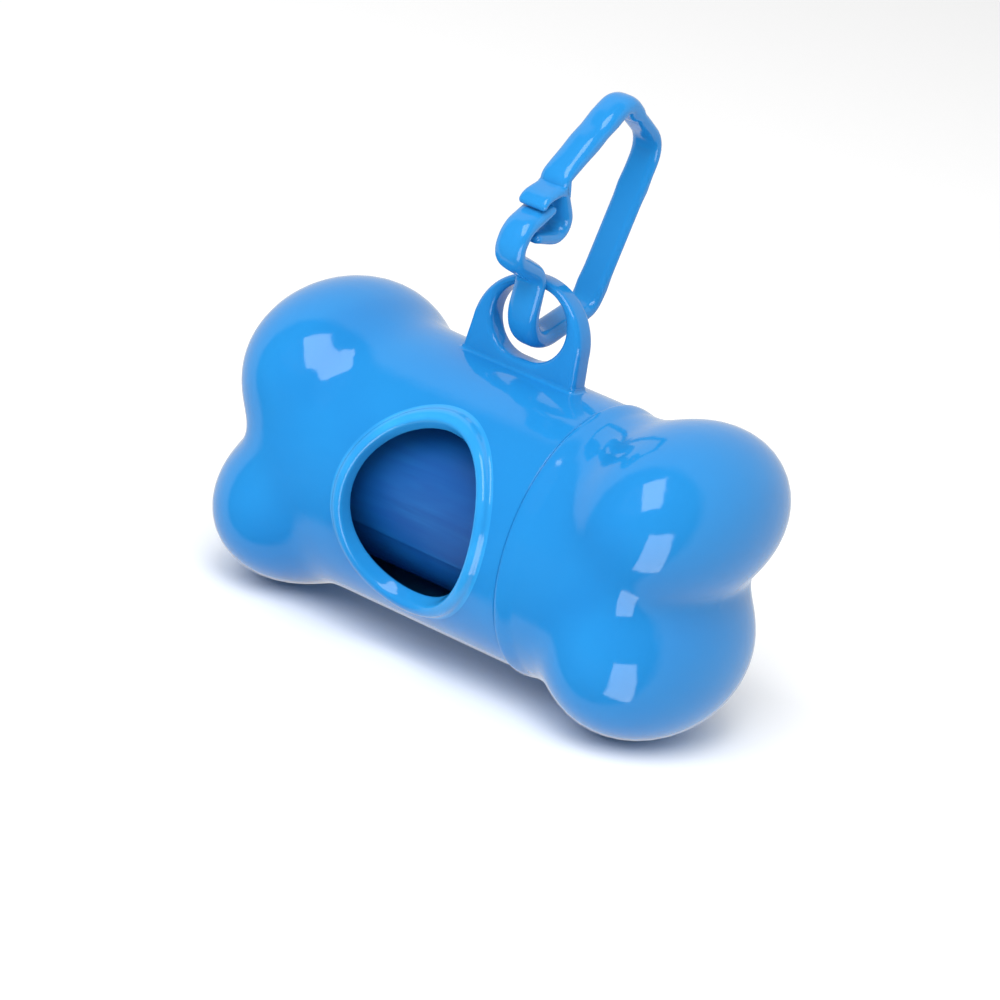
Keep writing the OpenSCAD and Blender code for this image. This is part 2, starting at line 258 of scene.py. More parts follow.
def face_out(piece):
    edit(piece)
    bpy.ops.mesh.select_all(action="SELECT")
    bpy.ops.mesh.remove_doubles(threshold=1e-7)
    bpy.ops.mesh.normals_make_consistent(inside=False)
    put_down()


def modify(piece, kind, **settings):
    """Adds a modifier with these settings and applies it."""
    take(piece)
    bpy.ops.object.modifier_add(type=kind)
    modifier = piece.modifiers[-1]
    for key, value in settings.items():
        setattr(modifier, key, value)
    if "FINISHED" not in bpy.ops.object.modifier_apply(modifier=modifier.name):
        raise RuntimeError(f"{kind} could not be applied to {piece.name}")


def smooth(piece, degrees=35):
    take(piece)
    bpy.ops.object.shade_smooth_by_angle(angle=math.radians(degrees))


def close_ends(piece, rings, count):
    """Fills the first and the last ring of a drawn band, whose points lie ring by ring."""
    edit(piece)
    for first in (0, (rings - 1) * count):
        bpy.ops.mesh.select_all(action="DESELECT")
        shape = bmesh.from_edit_mesh(piece.data)
        shape.verts.ensure_lookup_table()
        for k in range(count):
            shape.verts[first + k].select_set(True)
        shape.select_flush(True)
        bmesh.update_edit_mesh(piece.data)
        bpy.ops.mesh.edge_face_add()
    put_down()


def join(*pieces):
    take(*pieces)
    bpy.ops.object.join()
    return pieces[0]


def finish_piece(piece, body, slot, finish, *nodes):
    """Gives a piece its finish and its body, and hides the CAD nodes that it stands for. The slot is not
    used.
    """
    piece.data.materials.clear()
    piece.data.materials.append(finish)
    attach(piece, body)
    if nodes:
        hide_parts(*nodes)


def turned(name, profile, steps=144, centre_z=None):
    """A ring turned on the bone's axis from a closed profile of (x, radius) points."""
    centre_z = AXIS_Z if centre_z is None else centre_z
    put_down()
    bpy.ops.mesh.primitive_circle_add(vertices=len(profile), radius=0.001)
    piece = named(name)
    set_points(piece, [(x, 0, centre_z + r) for x, r in profile])
    edit(piece)
    bpy.ops.mesh.select_all(action="SELECT")
    bpy.ops.mesh.spin(steps=steps, angle=2 * math.pi, center=(0, 0, centre_z), axis=(1, 0, 0))
    face_out(piece)
    return piece


# ---------- the bone's skin ----------

def bone_field(p, s, cut):
    """Over 1 inside the bone and 1 on its skin. cut is how far the skin is drawn in."""
    x, y, z = p.T
    r = np.hypot(y, z) / (s.waist - cut)
    l = np.abs(x) / (s.dip - cut)
    g = (r ** s.waist_square + l ** s.waist_square) ** (1 / s.waist_square)
    total = np.maximum(g, 0.05) ** -s.waist_crease
    c, n = math.cos(s.lean), math.sin(s.lean)
    for sx in (1, -1):
        for sz in (1, -1):
            dx, dz = sx * x - s.lobe_along, sz * z - s.lobe_up
            u, w = c * dx + n * dz, c * dz - n * dx
            e = np.sqrt((u / (s.lobe_rx - cut)) ** 2 + (w / (s.lobe_rz - cut)) ** 2
                        + (y / (s.lobe_ry - cut)) ** 2)
            total = total + np.maximum(e, 0.05) ** -s.lobe_crease
    return total


def skin_along(base, ray, s, cut=0.0):
    """Where rays from base points inside the bone meet its skin."""
    low, high = np.full(len(base), 0.001), np.full(len(base), 0.045)
    for _ in range(32):
        middle = (low + high) / 2
        inside = bone_field(base + middle[:, None] * ray, s, cut) > 1
        low, high = np.where(inside, middle, low), np.where(inside, high, middle)
    return base + ((low + high) / 2)[:, None] * ray


def skin_normal(p, s):
    """Outward direction of the skin at points on it."""
    step = 1e-5
    slope = np.stack([bone_field(p + step * axis, s, 0) - bone_field(p - step * axis, s, 0)
                      for axis in np.eye(3)], 1)
    return -slope / np.linalg.norm(slope, axis=1)[:, None]


LIP_RISE = 0.16  # share of the lip's width in which it rises


def cap_lip(x, s):
    """Extra radius of the lip: a quick rise at the cap's edge that dies away along the cap."""
    along = np.clip((x - s.seam) / s.lip_width, 0, 1)
    rise = np.clip(along / LIP_RISE, 0, 1)
    fall = np.clip((along - LIP_RISE) / (1 - LIP_RISE), 0, 1)
    return s.lip_height * np.sqrt(1 - (1 - rise) ** 2) * (1 - fall) ** 2 * (1 + 2 * fall)


DRAWN_END = 0.02  # length of drawn tube that is pressed into the bone's round end


def draw_tube(name, start, side, s, fine):
    """Extrudes a tube along the bone, ring by ring, and closes its far end."""
    fan_x = s.lobe_along - s.fan_inset
    straight = abs(side * fan_x - start)
    stops = list(np.arange(0.00025, 0.0036, 0.00025)) if fine else [0.0003, 0.0008]
    stops += list(np.linspace(stops[-1], straight, int((straight - stops[-1]) / 0.0009) + 1)[1:])
    ends = 26
    stops += [straight + DRAWN_END * i / ends for i in range(1, ends)]
    put_down()
    bpy.ops.mesh.primitive_circle_add(vertices=s.ring, radius=s.waist, location=(start, 0, AXIS_Z),
                                      rotation=(0, math.pi / 2, 0))
    tube = named(name)
    edit(tube)
    bpy.ops.mesh.select_all(action="SELECT")
    reached = 0.0
    for stop in stops:
        bpy.ops.mesh.extrude_region_move(TRANSFORM_OT_translate={"value": (side * (stop - reached), 0, 0)})
        reached = stop
    bpy.ops.mesh.extrude_region_move(TRANSFORM_OT_translate={"value": (side * DRAWN_END / ends, 0, 0)})
    bpy.ops.mesh.merge(type="CENTER")
    put_down()
    return tube


def press_to_bone(tube, side, s, cut):
    """Presses a drawn tube onto the skin of the bone, or onto the inside of its wall."""
    fan_x = s.lobe_along - s.fan_inset
    x, y, z = points_of(tube).T
    f = np.clip((side * x - fan_x) / DRAWN_END, 0, 1) * math.pi / 2
    a = np.arctan2(z - AXIS_Z, y)
    base = np.stack([np.where(f > 0, side * fan_x, x), 0 * x, 0 * x], 1)
    ray = np.stack([side * np.sin(f), np.cos(f) * np.cos(a), np.cos(f) * np.sin(a)], 1)
    p = skin_along(base, ray, s, cut)
    r = np.maximum(np.hypot(p[:, 1], p[:, 2]), 1e-9)
    if cut:
        mouth = s.waist - cut
        k = np.where((r > mouth) | ((np.abs(p[:, 0]) < s.bore) & (f == 0)), mouth / r, 1)
    else:
        k = np.where((f == 0) & (side > 0), (r + cap_lip(p[:, 0], s)) / r, 1)
    p[:, 1] *= k
    p[:, 2] = np.maximum(p[:, 2] * k + AXIS_Z, 0)
    set_points(tube, p)


def half_shell(name, start, side, s):
    """One half of the bone as a closed hollow shell with softened edges at its mouth."""
    outer = draw_tube(name, start, side, s, side > 0)
    press_to_bone(outer, side, s, 0)
    inner = draw_tube(name + "_inside", start, side, s, False)
    press_to_bone(inner, side, s, s.wall)
    edit(inner)
    bpy.ops.mesh.select_all(action="SELECT")
    bpy.ops.mesh.flip_normals()
    shell = join(outer, inner)
    edit(shell)
    choose(shell, lambda co: abs(co.x - start) < 1e-7)
    bpy.ops.mesh.bridge_edge_loops()
    for low, high, width in ((s.waist - s.wall / 2, 1, 0.00022), (0, s.waist - s.wall / 2, 0.0003)):
        choose(shell, lambda co: abs(co.x - start) < 1e-7 and low < math.hypot(co.y, co.z - AXIS_Z) < high)
        bpy.ops.mesh.bevel(offset=width, segments=3, affect="EDGES")
    put_down()
    return shell


def lay_ring(name, rounds, profile, foot, toward, s):
    """A torus pressed onto the bone: foot gives its rounds on a plane, profile its section."""
    put_down()
    bpy.ops.mesh.primitive_torus_add(major_segments=rounds, minor_segments=len(profile),
                                     major_radius=0.012, minor_radius=0.001)
    ring = named(name)
    inset = np.tile([p[0] for p in profile], rounds) * MM
    height = np.tile([p[1] for p in profile], rounds) * MM
    turn = np.repeat(np.arange(rounds) * 2 * math.pi / rounds, len(profile))
    base = foot(turn, inset)
    p = skin_along(base, np.tile(toward, (len(base), 1)), s)
    p = p + skin_normal(p, s) * height[:, None]
    p[:, 2] += AXIS_Z
    set_points(ring, p)
    face_out(ring)
    return ring


# ---------- finishes ----------

class Finish:
    """A material whose nodes are added one after another."""

    def __init__(self, name):
        self.material = bpy.data.materials.new(name)
        self.material.use_nodes = True
        self.tree = self.material.node_tree
        self.shader = self.tree.nodes["Principled BSDF"]
        self.place = self.tree.nodes.new("ShaderNodeTexCoord").outputs["Object"]

    def add(self, kind, inputs=None, **settings):
        node = self.tree.nodes.new(kind)
        for key, value in settings.items():
            setattr(node, key, value)
        for key, value in (inputs or {}).items():
            if isinstance(value, bpy.types.NodeSocket):
                self.tree.links.new(value, node.inputs[key])
            else:
                node.inputs[key].default_value = value
        return node

    def noise(self, scale, detail=2.0, roughness=0.5, stretch=(1, 1, 1), distortion=0.0):
        place = self.place
        if tuple(stretch) != (1, 1, 1):
            place = self.add("ShaderNodeMapping", {"Vector": place, "Scale": stretch}).outputs["Vector"]
        inputs = {"Vector": place, "Scale": scale, "Detail": detail, "Roughness": roughness,
                  "Distortion": distortion}
        return self.add("ShaderNodeTexNoise", inputs).outputs["Fac"]

    def ramp(self, value, low, high, out_low=0.0, out_high=1.0):
        return self.add("ShaderNodeMapRange", {"Value": value, "From Min": low, "From Max": high,
                                               "To Min": out_low, "To Max": out_high}).outputs["Result"]

    def math(self, operation, a, b):
        return self.add("ShaderNodeMath", {0: a, 1: b}, operation=operation).outputs["Value"]

    def blend(self, factor, a, b):
        node = self.add("ShaderNodeMix", data_type="RGBA")
        for index, value in ((0, factor), (6, a), (7, b)):
            if isinstance(value, bpy.types.NodeSocket):
                self.tree.links.new(value, node.inputs[index])
            elif index:
                node.inputs[index].default_value = (*value, 1)
            else:
                node.inputs[index].default_value = value
        return node.outputs[2]

    def bump(self, height, strength, distance, below=None):
        inputs = {"Height": height, "Strength": strength, "Distance": distance}
        if below is not None:
            inputs["Normal"] = below
        return self.add("ShaderNodeBump", inputs).outputs["Normal"]

    def set(self, **values):
        for key, value in values.items():
            socket = self.shader.inputs[key.replace("_", " ")]
            if isinstance(value, bpy.types.NodeSocket):
                self.tree.links.new(value, socket)
            else:
                socket.default_value = value


def moulded_plastic(name, colour, deep):
    """Glossy moulded plastic: a trace of flow in the colour, faint orange peel and hairline marks."""
    finish = Finish(name)
    flow = finish.noise(55, 2.0, 0.45, (1, 0.35, 1), 0.6)
    finish.set(Base_Color=finish.blend(finish.ramp(flow, 0.35, 0.65), tuple(deep), tuple(colour)))
    peel = finish.noise(420, 1.5, 0.5)
    grain = finish.noise(5200, 2.0, 0.6)
    hairline = finish.ramp(finish.noise(900, 2.0, 0.7, (0.06, 1, 0.5)), 0.62, 0.78)
    smudge = finish.ramp(finish.noise(85, 3.0, 0.6), 0.3, 0.75, 0.07, 0.12)
    finish.set(Roughness=finish.math("ADD", smudge, finish.math("MULTIPLY", hairline, 0.05)))
    soft = finish.bump(peel, 0.06, 0.0006)
    finish.set(Normal=finish.bump(grain, 0.03, 0.00006, soft))
    finish.set(IOR=1.5)
    return finish.material


def wound_film(name, colour, light):
    """Thin bag film: dark, softly shining, with creases along the roll and faint layer lines."""
    finish = Finish(name)
    crease = finish.noise(260, 3.0, 0.6, (0.12, 1, 1), 0.8)
    cloud = finish.noise(90, 2.0, 0.5)
    mixed = finish.math("MULTIPLY", finish.ramp(crease, 0.4, 0.7), finish.ramp(cloud, 0.3, 0.7))
    finish.set(Base_Color=finish.blend(mixed, tuple(colour), tuple(light)))
    finish.set(Roughness=finish.ramp(cloud, 0.3, 0.7, 0.34, 0.5))
    finish.set(Normal=finish.bump(crease, 0.25, 0.0003))
    finish.set(IOR=1.45)
    return finish.material


def wound_card(name, colour):
    """Paper tube: fibres, and the spiral line where the strip's edges meet."""
    finish = Finish(name)
    fibre = finish.noise(1400, 4.0, 0.7, (1, 0.25, 0.25))
    pale = tuple(min(1.0, c * 1.35) for c in colour)
    dark = tuple(c * 0.7 for c in colour)
    paper = finish.blend(finish.ramp(fibre, 0.3, 0.7), dark, pale)
    lines = finish.add("ShaderNodeTexWave", {"Vector": finish.place, "Scale": 18.0, "Distortion": 0.4,
                                             "Detail": 1.0}, bands_direction="DIAGONAL").outputs["Fac"]
    finish.set(Base_Color=finish.blend(finish.ramp(lines, 0.0, 0.06, 0.5, 0.0), paper, dark))
    finish.set(Roughness=finish.ramp(fibre, 0.3, 0.7, 0.8, 0.95))
    finish.set(Normal=finish.bump(fibre, 0.4, 0.0002))
    return finish.material


def plain_floor(name, colour):
    """Pale studio paper with the faintest tooth."""
    finish = Finish(name)
    tooth = finish.noise(900, 3.0, 0.6)
    shade = tuple(c * 0.985 for c in colour)
    finish.set(Base_Color=finish.blend(tooth, shade, tuple(colour)), Roughness=0.9)
    finish.set(Normal=finish.bump(tooth, 0.05, 0.0002))
    return finish.material


def finish_named(name):
    """The finish of that name, made the first time that it is asked for."""
    found = bpy.data.materials.get(name)
    if found:
        return found
    c = bpy.context.scene.finish_colours
    make = {
        "Body Plastic": lambda: moulded_plastic(name, c.shell, c.shell_deep),
        # the rim's plastic is the shell plastic in the lighter rim blue: painted light
        "Rim Plastic Painted Lighter": lambda: moulded_plastic(name, c.rim, c.shell),
        "Cap Plastic": lambda: moulded_plastic(name, c.shell, c.shell_deep),
        "Clip Plastic": lambda: moulded_plastic(name, c.clip, c.shell),
        "Bag Film": lambda: wound_film(name, c.film, c.film_light),
        "Core Card": lambda: wound_card(name, c.card),
        "Floor Paper": lambda: plain_floor(name, c.floor),
    }
    return make[name]()


# ---------- body ----------

class DISPENSER_OT_body_shell(bpy.types.Operator):
    """Body half of the bone with the outlet cut through its front"""
    bl_idname = "dispenser.body_shell"
    bl_label = "Body Shell"

    def execute(self, context):
        s, o = context.scene.bone_sizes, context.scene.outlet_sizes
        shell = half_shell("body_shell_moulding", s.seam, -1, s)
        put_down()
        bpy.ops.mesh.primitive_cylinder_add(vertices=192, radius=0.5, depth=0.03,
                                            rotation=(math.pi / 2, 0, 0), location=(o.along, -0.021, AXIS_Z))
        bpy.context.object.scale = (o.width - 2 * o.hole_inset, o.height - 2 * o.hole_inset, 1)
        cutter = named("outlet_cutter")
        modify(shell, "BOOLEAN", operation="DIFFERENCE", object=cutter, solver="EXACT")
        bpy.data.objects.remove(cutter)
        smooth(shell)
        finish_piece(shell, "body", "body_plastic", finish_named("Body Plastic"), "body_shell")
        return {"FINISHED"}


# section of the outlet's rim, as (inset from the outline, height above the waist) in mm
RIM_SECTION = (
    (-0.75, -0.25), (-0.75, 0.00), (-0.55, 0.02), (-0.37, 0.09), (-0.22, 0.20), (-0.10, 0.36), (0.02, 0.54),
    (0.17, 0.72), (0.37, 0.87), (0.62, 0.97), (0.88, 1.00), (1.12, 0.98), (1.32, 0.90), (1.48, 0.75),
    (1.58, 0.52), (1.63, 0.20), (1.64, -0.30), (1.64, -0.80), (1.64, -1.30), (1.60, -1.60), (1.50, -1.75),
    (1.35, -1.83), (1.10, -1.86), (0.60, -1.86), (0.20, -1.80), (-0.20, -1.40), (-0.60, -0.80))


class DISPENSER_OT_outlet_rim(bpy.types.Operator):
    """Raised rounded rim of the outlet, which runs softly out into the waist"""
    bl_idname = "dispenser.outlet_rim"
    bl_label = "Outlet Rim"

    def execute(self, context):
        s, o = context.scene.bone_sizes, context.scene.outlet_sizes

        def foot(turn, inset):
            x = o.along + (o.width / 2 - inset) * np.cos(turn)
            z = (o.height / 2 - inset) * np.sin(turn)
            return np.stack([x, 0 * x, z], 1)

        rim = lay_ring("outlet_rim_bead", 192, RIM_SECTION, foot, (0, -1, 0), s)
        smooth(rim, 50)
        # the rim's lighter blue is painted light on its bead
        finish_piece(rim, "body", "body_plastic", finish_named("Rim Plastic Painted Lighter"), "outlet_rim")
        return {"FINISHED"}


# section of the fillet round the lug's root, as (inset from the lug's side, height above the waist) in mm
FILLET_SECTION = (
    (-0.55, -0.20), (-0.55, 0.00), (-0.42, 0.02), (-0.30, 0.06), (-0.19, 0.12), (-0.10, 0.21), (-0.04, 0.32),
    (-0.01, 0.45), (0.02, 0.62), (0.30, 0.62), (0.30, 0.30), (0.00, -0.20))


def loop_outline(count, corners):
    """Points spread evenly round a closed outline of many short sides."""
    corners = np.asarray(corners, float)
    sides = np.linalg.norm(np.roll(corners, -1, 0) - corners, axis=1)
    walked = np.concatenate([[0], np.cumsum(sides)])
    closed = np.vstack([corners, corners[:1]])
    at = np.arange(count) / count * walked[-1]
    return np.stack([np.interp(at, walked, closed[:, k]) for k in range(closed.shape[1])], 1)


def arc(cx, cz, radius, start, end, steps):
    return [(cx + radius * math.cos(a), cz + radius * math.sin(a)) for a in np.linspace(start, end, steps)]


class DISPENSER_OT_hanging_lug(bpy.types.Operator):
    """Hanging lug: a plate with rounded edges, an eye and a fillet round its root"""
    bl_idname = "dispenser.hanging_lug"
    bl_label = "Hanging Lug"

    def execute(self, context):
        s, g = context.scene.bone_sizes, context.scene.lug_sizes
        low = s.waist - 0.0012
        outline = ([(g.root, low)] + arc(0, g.arch_up, g.arch, 0, math.pi, 64) + [(-g.root, low)])
        eye = (arc(g.eye_slot / 2, g.eye_up, g.eye, -math.pi / 2, math.pi / 2, 40)
               + arc(-g.eye_slot / 2, g.eye_up, g.eye, math.pi / 2, 1.5 * math.pi, 40))
        rings = []
        for name, points in (("lug_plate", outline), ("lug_eye", eye)):
            put_down()
            bpy.ops.mesh.primitive_circle_add(vertices=160, radius=0.005)
            ring = named(name)
            set_points(ring, [(g.along + x, 0, AXIS_Z + z) for x, z in loop_outline(160, points)])
            rings.append(ring)
        lug = join(*rings)
        lug.name = "hanging_lug_plate"
        edit(lug)
        bpy.ops.mesh.select_all(action="SELECT")
        bpy.ops.mesh.bridge_edge_loops()
        put_down()
        modify(lug, "SOLIDIFY", thickness=g.thickness, offset=0.0)
        face_out(lug)
        modify(lug, "BEVEL", width=g.edge, segments=5, limit_method="ANGLE", angle_limit=math.radians(50),
               use_clamp_overlap=False)

        def foot(turn, inset):
            half_x, half_y, r = g.root - 0.00005, g.thickness / 2, 0.0008
            corners = []
            for cx, cy, start in ((1, 1, 0), (-1, 1, 0.5), (-1, -1, 1), (1, -1, 1.5)):
                corners += [(cx * (half_x - r) + r * math.cos(a), cy * (half_y - r) + r * math.sin(a),
                             math.cos(a), math.sin(a))
                            for a in np.linspace(start * math.pi, (start + 0.5) * math.pi, 9)]
            around = loop_outline(len(np.unique(turn)), corners)
            around[:, 2:] /= np.linalg.norm(around[:, 2:], axis=1)[:, None]
            around = around[np.searchsorted(np.unique(turn), turn)]
            x = g.along + around[:, 0] - inset * around[:, 2]
            y = around[:, 1] - inset * around[:, 3]
            return np.stack([x, y, 0 * x], 1)

        fillet = lay_ring("lug_fillet", 160, FILLET_SECTION, foot, (0, 0, 1), s)
        lug = join(lug, fillet)
        smooth(lug, 40)
        finish_piece(lug, "body", "body_plastic", finish_named("Body Plastic"), "hanging_lug")
        return {"FINISHED"}


THREAD_STEPS = 48  # steps in a full turn of a thread
THREAD_FOOT, THREAD_CREST = 0.0008, 0.0004  # half widths of a ridge at its foot and at its crest
THREAD_START = 0.0012  # distance of the neck thread's start from the seam


def screw_ridge(name, start_x, foot_radius, crest_radius, t):
    """A thread ridge: its section is spun and moved along step by step, and runs out at both ends."""
    foot, crest = THREAD_FOOT, THREAD_CREST
    section = [(-foot, 0.0), (-foot * 0.8, 0.45), (-crest, 0.9), (-crest * 0.4, 1.0),
               (crest * 0.4, 1.0), (crest, 0.9), (foot * 0.8, 0.45), (foot, 0.0)]
    step = 2 * math.pi / THREAD_STEPS
    steps = round(t.turns * THREAD_STEPS)
    put_down()
    bpy.ops.mesh.primitive_circle_add(vertices=len(section), radius=0.001)
    ridge = named(name)
    rise = crest_radius - foot_radius
    set_points(ridge, [(start_x + x, foot_radius + k * rise, AXIS_Z) for x, k in section])
    edit(ridge)
    bpy.ops.mesh.select_all(action="SELECT")
    for _ in range(steps):
        bpy.ops.mesh.spin(steps=1, angle=-step, center=(0, 0, AXIS_Z), axis=(1, 0, 0))
        bpy.ops.transform.translate(value=(t.pitch / THREAD_STEPS, 0, 0))
    put_down()
    p = points_of(ridge).reshape(steps + 1, len(section), 3)
    r = np.hypot(p[:, :, 1], p[:, :, 2] - AXIS_Z)
    i = np.arange(steps + 1)
    fade = np.sin(np.clip(np.minimum(i + 0.6, steps - i + 0.6) / 7, 0, 1) * math.pi / 2)[:, None]
    wanted = foot_radius + (r - foot_radius) * fade
    p[:, :, 1] *= wanted / r
    p[:, :, 2] = AXIS_Z + (p[:, :, 2] - AXIS_Z) * wanted / r
    set_points(ridge, p.reshape(-1, 3))
    close_ends(ridge, steps + 1, len(section))
    face_out(ridge)
    smooth(ridge, 45)
    return ridge


class DISPENSER_OT_screw_neck(bpy.types.Operator):
    """Screw neck with its collar and the thread that the cap turns on"""
    bl_idname = "dispenser.screw_neck"
    bl_label = "Screw Neck"

    def execute(self, context):
        s, t = context.scene.bone_sizes, context.scene.screw_sizes
        inner, collar = t.neck - t.neck_wall, s.waist - s.wall - 0.00004
        back, end = s.seam - t.collar, s.seam + t.neck_length
        neck = turned("screw_neck_collar", [
            (back + 0.0002, inner), (back, inner + 0.0002), (back, collar - 0.0003), (back + 0.0003, collar),
            (s.seam - 0.0003, collar), (s.seam - 0.0001, collar - 0.0003), (s.seam - 0.0001, t.neck + 0.0003),
            (s.seam + 0.0002, t.neck), (end - 0.0006, t.neck), (end - 0.0002, t.neck - 0.0002),
            (end, t.neck - 0.0006), (end, inner + 0.0003), (end - 0.0003, inner)])
        smooth(neck, 50)
        finish_piece(neck, "body", "body_plastic", finish_named("Body Plastic"), "screw_neck")
        ridge = screw_ridge("neck_thread_ridge", s.seam + THREAD_START, t.neck, t.neck + t.neck_ridge, t)
        finish_piece(ridge, "body", "body_plastic", finish_named("Body Plastic"), "neck_thread")
        return {"FINISHED"}


class DISPENSER_OT_cap_shell(bpy.types.Operator):
    """Screw cap half of the bone, with the lip at its edge and the thread inside its mouth"""
    bl_idname = "dispenser.cap_shell"
    bl_label = "Cap Shell"

    def execute(self, context):
        s, t = context.scene.bone_sizes, context.scene.screw_sizes
        shell = half_shell("cap_shell_moulding", s.seam + s.seam_gap, 1, s)
        smooth(shell)
        finish_piece(shell, "cap", "cap_plastic", finish_named("Cap Plastic"), "cap_shell")
        start = s.seam + THREAD_START + t.pitch / 2
        ridge = screw_ridge("cap_thread_ridge", start, s.waist - s.wall, t.cap_crest, t)
        finish_piece(ridge, "cap", "cap_plastic", finish_named("Cap Plastic"), "cap_thread")
        return {"FINISHED"}


# ---------- bag roll ----------

class DISPENSER_OT_bag_roll(bpy.types.Operator):
    """Paper core, wound bags with their layered ends, and the free outer bag"""
    bl_idname = "dispenser.bag_roll"
    bl_label = "Bag Roll"

    def execute(self, context):
        b = context.scene.bag_sizes
        half, inner = b.core_length / 2, b.core - b.core_wall
        core = turned("roll_core_tube", [
            (-half + 0.00015, inner), (-half, inner + 0.0002), (-half, b.core - 0.0002),
            (-half + 0.00015, b.core), (half - 0.00015, b.core), (half, b.core - 0.0002),
            (half, inner + 0.0002), (half - 0.00015, inner)],
            96, ROLL_Z)
        smooth(core, 50)
        finish_piece(core, "carrier", "core_card", finish_named("Core Card"), "roll_core")

        half = b.roll_length / 2
        layers = 14
        radii = np.linspace(b.core + 0.0001, b.roll, 2 * layers + 1)
        ends = [0.00002 if i % 2 == 0 else 0.0003 for i in range(len(radii))]
        profile = [(-half + e, r) for e, r in zip(ends, radii)]
        profile += [(x, b.roll) for x in np.linspace(-half + 0.001, half - 0.001, 48)]
        profile += [(half - e, r) for e, r in zip(ends[::-1], radii[::-1])]
        roll = turned("bag_roll_film", profile, 160, ROLL_Z)
        p = points_of(roll)
        y, z = p[:, 1], p[:, 2] - ROLL_Z
        r, a = np.hypot(y, z), np.arctan2(z, y)
        ripple = (0.5 + 0.5 * np.sin(9 * a + 40 * p[:, 0])) * (0.5 + 0.5 * np.sin(150 * p[:, 0] + 2 * a))
        wound = r - 0.00016 * ripple * np.clip((r - b.core - 0.0005) / 0.004, 0, 1)
        p[:, 1] = y * wound / r
        p[:, 2] = ROLL_Z + z * wound / r
        set_points(roll, p)
        smooth(roll, 40)
        finish_piece(roll, "roll", "bag_film", finish_named("Bag Film"), "bag_roll")

        put_down()
        bpy.ops.mesh.primitive_grid_add(x_subdivisions=72, y_subdivisions=150, size=1)
        lead = named("leading_bag_film")
        p = points_of(lead)
        u, v = p[:, 0], p[:, 1] + 0.5
        a = b.lead_from + v * (b.lead_to - b.lead_from)
        # a folded bag is thick up to a soft fold, and its free edge beyond lies flatter and a little uneven
        fold = np.clip((math.radians(186) - a) / math.radians(7), 0, 1)
        fold = fold * fold * (3 - 2 * fold)
        crumple = np.sin(26 * u + 9 * v) * np.sin(11 * v + 3) + 0.5 * np.sin(61 * u - 17 * v)
        r = b.roll + 0.00022 + 0.00012 * fold + 0.00003 * crumple * fold
        a = a + math.radians(0.35) * np.sin(9 * u + 1) * np.clip((v - 0.9) / 0.1, 0, 1)
        set_points(lead, np.stack([u * b.roll_length, r * np.cos(a), ROLL_Z + r * np.sin(a)], 1))
        modify(lead, "SOLIDIFY", thickness=0.00016, offset=0.0)
        face_out(lead)
        smooth(lead, 40)
        finish_piece(lead, "roll", "bag_film", finish_named("Bag Film"), "leading_bag")
        return {"FINISHED"}


# ---------- clip ----------

STRIP_THICK = 1.6  # thickness of the strip at its middle in mm
BAND_ROUND = 40  # points round the clip's band
TIP_PARTS = (0.4, 0.25, 0.18, 0.12, 0.05)  # shares of a tip's last stretch between its rings

# The clip's centre line from the middle of its strip. A row is (radius or 0, length or turn in
# degrees, thickness at its end), with lengths in mm and left turns positive.
LOWER_RUN = (
    (0, 6.75, 1.9), (3.0, -54.0, 2.3),                   # down the strip and round
    (0, 8.12, 2.8), (5.0, -110.5, 3.0), (0, 3.3, 2.7),   # forward through the eye and up
    (2.2, 70.0, 2.8), (0, 5.0, 2.8), (2.2, -84.0, 2.7),  # forward to the hook's back
    (0, 0.9, 2.8), (3.2, -45.0, 2.5), (0, 3.9, 1.9), (0, 1.1, 1.5))
UPPER_RUN = (
    (0, 14.0, 1.8), (4.2, 75.3, 1.9), (0, 4.2, 2.0),     # up the strip and over
    (0, 0.7, 1.7), (0, 0.9, 2.9), (0, 1.6, 3.0), (3.0, 71.8, 2.9),  # the step up to the stiff arm
    (0, 2.0, 3.1), (0, 2.4, 2.7), (0, 2.6, 3.0),         # down the arm, which swells twice
    (0, 2.5, 2.7), (0, 2.0, 2.5), (0, 1.8, 2.2),
    (1.5, 83.1, 2.0), (0, 4.4, 2.4), (2.2, -128.9, 2.1), (0, 4.9, 1.6))
FOOT_START = (-2.9, 47.6, 197.0, 3.4)
FOOT_RUN = ((0, 0.8, 2.4), (0, 0.9, 1.7), (0, 2.5, 1.3), (1.7, 74.0, 1.2))


def past(place, row):
    """The place (y, z, heading, thickness) at the end of a row of a run."""
    y, z, heading, _ = place
    radius, amount, thick = row
    h = math.radians(heading)
    if not radius:
        return (y + amount * math.cos(h), z + amount * math.sin(h), heading, thick)
    side = math.copysign(1, amount)
    cy, cz = y - side * radius * math.sin(h), z + side * radius * math.cos(h)
    after = h + math.radians(amount)
    return (cy + side * radius * math.sin(after), cz - side * radius * math.cos(after),
            heading + amount, thick)


def backwards(start, run):
    """The same run from its far end back to its start, as (start place, rows)."""
    places = [start]
    for row in run:
        places.append(past(places[-1], row))
    y, z, heading, thick = places[-1]
    rows = []
    for (radius, amount, _), place in reversed(list(zip(run, places))):
        rows.append((radius, -amount if radius else amount, place[3]))
    return (y, z, heading + 180, thick), rows


def band_section(width, thick, rounding, count):
    """Points (across, through) round a rectangle with oval corners, a quarter at a time."""
    r = min(rounding, 0.485 * thick)
    wide = min(1.5 * r, 0.485 * width)
    points = []
    for sx, sz, start, middle in (
            (1, 1, 0, (0.0, thick / 2)), (-1, 1, 90, (-width / 2, 0.0)),
            (-1, -1, 180, (0.0, -thick / 2)), (1, -1, 270, (width / 2, 0.0))):
        cx, cz = sx * (width / 2 - wide), sz * (thick / 2 - r)
        for a in np.radians(np.linspace(start, start + 90, count // 4 - 1)):
            points.append((cx + wide * math.cos(a), cz + r * math.sin(a)))
        points.append(middle)
    return np.array(points)


